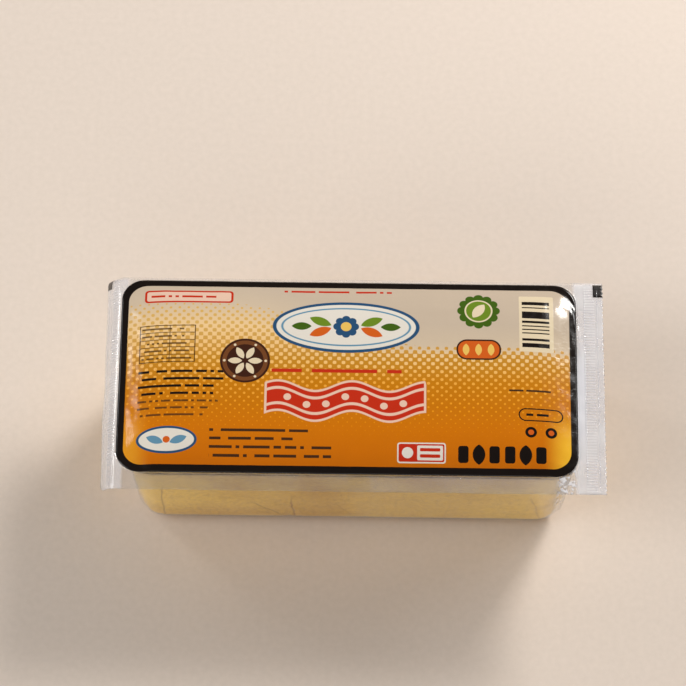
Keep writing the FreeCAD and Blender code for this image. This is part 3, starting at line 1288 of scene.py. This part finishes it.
@dataclass
class LidFilm(PackPart):
    """Printed film over the crown, its clear margin, the pressed seal beads and the eye marks.

    Insets, and the places and radii of the beads, are millimetres.
    """

    print_length: float = 205.0 * MM
    print_width: float = 97.6 * MM
    print_radius: float = 10.5 * MM
    print_shift: Point = (-1.9 * MM, 1.3 * MM)
    border_width: float = 3.2 * MM
    core_width: float = 8.0 * MM
    core_radius: float = 3.4 * MM
    print_insets: tuple[float, ...] = (
        0, 0.7, 1.5, 2.5, 3.7, 5, 6.5, 8, 9.5, 11, 13, 15, 17, 19.5, 22, 25, 28, 31, 34, 37, 41, 44.3)
    margin_rings: int = 12
    gap: float = 0.02 * MM
    beads: tuple[Point, ...] = ((3.9, 0.22), (9.6, 0.26))
    left_bead_shift: float = 3.9 * MM
    bead_end: float = 1.2 * MM
    bead_steps: int = 90
    bead_sides: int = 6
    right_mark: float = 4.6 * MM
    left_mark: float = 5.4 * MM
    mark_steps: int = 6
    mark_cuts: int = 8
    mark_inset: float = 0.08 * MM
    ink_gap: float = 0.03 * MM
    ink_depth: float = 0.04 * MM

    @property
    def border_edge(self) -> tuple[float, float, float, Point]:
        """Outer edge of the print."""
        return self.print_length, self.print_width, self.print_radius, self.print_shift

    def build_print(self) -> Piece:
        """Model the printed middle of the lid.

        Returns:
            The printed film, with its thickness.
        """
        deepest = (self.print_width - self.core_width) / 2
        core = self.plan.rounded(self.print_length - 2 * deepest, self.core_width, self.core_radius)
        edge = self.plan.rounded(*self.border_edge)
        loops = [self.shape.laid(between(edge, core, inset * MM / deepest), self.gap) for inset in self.print_insets]
        return Modeller.film("lid_print", loops, self.sizes.lid_film, 1, closed=True)

    def build_margin(self) -> Piece:
        """Model the clear film outside the print.

        Returns:
            The clear margin, with its thickness.
        """
        edge = self.plan.rounded(*self.border_edge)
        outer = self.plan.film_edge(self.sizes, False)
        rings = [between(edge, outer, step / self.margin_rings) for step in range(self.margin_rings + 1)]
        rings.append(self.plan.film_edge(self.sizes, True))
        loops = [self.shape.laid(ring, self.gap) for ring in rings]
        return Modeller.film("lid_margin", loops, self.sizes.lid_film, 1)

    def build_beads(self) -> Piece:
        """Model the raised lines that the sealing tool leaves along both ends.

        Returns:
            The beads, joined.
        """
        end = self.sizes.pocket_length / 2
        beads = []
        for side, shift in ((-1, self.left_bead_shift), (1, 0.0)):
            for outside, radius in self.beads:
                beads.append(self._bead(side * (end + outside * MM) - shift, radius * MM))
        return Modeller.join(beads, "seal_beads")

    def _bead(self, x: float, radius: float) -> Piece:
        """Model one bead across the film, as a thin low tube.

        Args:
            x: Its place along the flat film.
            radius: Its radius where it is of middling height.

        Returns:
            The bead.
        """
        _, back, _, front = self.sizes.film_edges(self.bead_end)
        angles = [2 * math.pi * corner / self.bead_sides for corner in range(self.bead_sides)]
        loops = []
        for step in range(self.bead_steps + 1):
            share = step / self.bead_steps
            y = front + (back - front) * share
            swell = radius * (0.75 + 0.5 * abs(noise.noise(Vector((x / MM, y / MM / 3, 2.0)))))
            swell *= 0.15 + 0.85 * min(1.0, 12 * min(share, 1 - share))
            loops.append([self.shape.place(x + swell * math.cos(angle), y,
                                           self.sizes.lid_film + 0.5 * swell * math.sin(angle)) for angle in angles])
        return Modeller.loft("seal_bead", loops, close_start=True, close_end=True)

    def build_marks(self) -> Piece:
        """Model the dark register marks at the back corners of the film.

        Returns:
            The marks, joined.
        """
        sizes = self.sizes
        right, back, left, front = sizes.film_edges()
        half_tooth = (back - front) / (self.plan.short_side + self.plan.corner)
        base = sizes.lid_film + self.ink_gap
        marks = []
        for edge, inner, first in ((right, right - self.right_mark, 4), (left, left + self.left_mark, 2)):
            loops = []
            for step in range(first, first + self.mark_steps + 1):
                outer = edge + math.copysign(self.mark_inset + sizes.tooth_depth * (step % 2), inner - edge)
                y = back - half_tooth * step
                row = [(outer + (inner - outer) * cut / self.mark_cuts, y) for cut in range(self.mark_cuts + 1)]
                loops.append(self.shape.laid(row, base) + self.shape.laid(row[::-1], base + self.ink_depth))
            marks.append(Modeller.loft("eye_mark", loops, close_start=True, close_end=True))
        return Modeller.join(marks, "eye_marks")


# Studio
@dataclass(frozen=True)
class Lamp:
    """One soft box."""

    name: str
    direction: tuple[float, float, float]
    distance: float
    size: tuple[float, float]
    power: float
    colour: Colour = (1.0, 1.0, 1.0)

    def build(self, target: Vector) -> None:
        """Hang the lamp and aim it.

        Args:
            target: What it shines at.
        """
        data = bpy.data.lights.new(self.name, "AREA")
        data.shape = "RECTANGLE"
        data.size, data.size_y = self.size
        data.energy = self.power
        data.color = self.colour
        lamp = bpy.data.objects.new(self.name, data)
        bpy.context.scene.collection.objects.link(lamp)
        heading = Vector(self.direction).normalized()
        lamp.location = target + heading * self.distance
        lamp.rotation_euler = heading.to_track_quat("Z", "Y").to_euler()


@dataclass(frozen=True)
class Studio:
    """Pale floor, soft lamps and the camera."""

    sizes: PackSizes
    tilt: float = math.radians(29.1)
    roll: float = math.radians(0.75)
    distance: float = 1.8
    pixels_per_metre: float = 2236.0
    image_width: float = 686.0
    sensor: float = 36.0
    off_centre: Point = (9.2, -37.1)
    floor_size: float = 6.0
    light_target: Vector = Vector((0, 0, 0.04)).freeze()
    world_colour: Rgba = (0.93, 0.95, 1.0, 1.0)
    world_strength: float = 0.11
    lamps: tuple[Lamp, ...] = (
        Lamp("key_back_right", (0.52, 0.74, 0.60), 1.5, (0.4, 0.4), 18.5, (1.0, 0.97, 0.93)),
        Lamp("right_strip", (0.75, 0.47, 0.46), 1.3, (0.5, 0.16), 3.2),
        Lamp("left_strip", (-0.70, 0.45, 0.50), 1.3, (0.15, 0.6), 1.8),
        Lamp("top_left", (-0.80, -0.25, 0.80), 1.6, (0.8, 0.8), 9.0),
        Lamp("left_low", (-0.9, -0.60, 0.28), 1.4, (0.5, 0.4), 4.6, (1.0, 0.97, 0.92)),
        Lamp("front_fill", (-0.20, -1.0, 0.50), 1.7, (1.3, 0.8), 6.0, (1.0, 0.93, 0.80)),
    )

    def build_camera(self) -> None:
        """Put the camera in front of the pack and above it, and make it the scene's camera."""
        toward = Vector((0, -math.sin(self.tilt), math.cos(self.tilt)))
        level = Vector((1, 0, 0))
        upward = toward.cross(level)
        right = level * math.cos(self.roll) + upward * math.sin(self.roll)
        up = upward * math.cos(self.roll) - level * math.sin(self.roll)
        lid_middle = self.sizes.middle + Vector((0, 0, self.sizes.seal_height))
        aim = lid_middle - (right * self.off_centre[0] + up * self.off_centre[1]) / self.pixels_per_metre
        data = bpy.data.cameras.new("camera")
        data.sensor_width = self.sensor
        data.lens = self.pixels_per_metre * self.distance / self.image_width * self.sensor
        camera = bpy.data.objects.new("camera", data)
        bpy.context.scene.collection.objects.link(camera)
        turn = Matrix((right, up, toward)).transposed()
        camera.matrix_world = Matrix.Translation(aim + toward * self.distance) @ turn.to_4x4()
        bpy.context.scene.camera = camera

    def build_floor(self) -> Piece:
        """Lay the floor.

        Returns:
            The floor.
        """
        bpy.ops.object.select_all(action="DESELECT")
        bpy.ops.mesh.primitive_plane_add(size=self.floor_size, location=(0, 0, 0))
        floor = bpy.context.active_object
        floor.name = "floor"
        finish = GrainFinish("pale_floor", linear(212, 198, 185), linear(224, 210, 198), (0.7, 0.85), 0.35, 4.0)
        floor.data.materials.append(finish.build())
        return floor

    def build_light(self) -> None:
        """Hang the lamps and set the world's light."""
        for lamp in self.lamps:
            lamp.build(self.light_target)
        world = bpy.data.worlds.new("studio")
        world.use_nodes = True
        background = world.node_tree.nodes["Background"]
        background.inputs["Color"].default_value = self.world_colour
        background.inputs["Strength"].default_value = self.world_strength
        bpy.context.scene.world = world


def dress(piece: Piece, material: bpy.types.Material) -> None:
    """Give a piece its finish and the body that it rides on.

    Args:
        piece: The piece.
        material: Its finish.
    """
    piece.data.materials.clear()
    piece.data.materials.append(material)
    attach(piece, "root")
    LOG.info("%s: %d faces", piece.name, len(piece.data.polygons))


def main() -> None:
    """Build the pack piece by piece, then the studio round it."""
    logging.basicConfig(level=logging.INFO, format="%(name)s %(message)s")
    bpy.context.scene.view_settings.view_transform = "Standard"
    sizes = PackSizes.from_frame()
    shape = FilmShape(sizes)
    plan = LoopPlan()

    butter = ButterBlock(sizes, shape, plan).build()
    dress(butter, ButterFinish(sizes).build())

    clear = ClearFilm(sizes).build()
    tray = TrayFilm(sizes, shape, plan).build()
    wall_film = ClearFilm(sizes, name="tray_clear_film", haze=0.01, sealed_haze=0.2, loose_haze=0.03, glare=0.02)
    dress(tray, wall_film.build())

    lid = LidFilm(sizes, shape, plan)
    printed = lid.build_print()
    dress(printed, PrintFinish(sizes, lid.border_edge, lid.border_width).build())
    margin = lid.build_margin()
    dress(margin, clear)
    beads = lid.build_beads()
    dress(beads, clear)
    marks = lid.build_marks()
    ink = GrainFinish("eye_mark_ink", Ink.BLACK.value, linear(34, 29, 26), (0.25, 0.4), 1.2, contrast=(0.3, 0.8))
    dress(marks, ink.build())

    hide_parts("filled_tray")
    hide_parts("filled_tray")
    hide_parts("lid_film")
    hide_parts("lid_film")

    studio = Studio(sizes)
    studio.build_floor()
    studio.build_light()
    studio.build_camera()


if __name__ == "__main__":
    main()
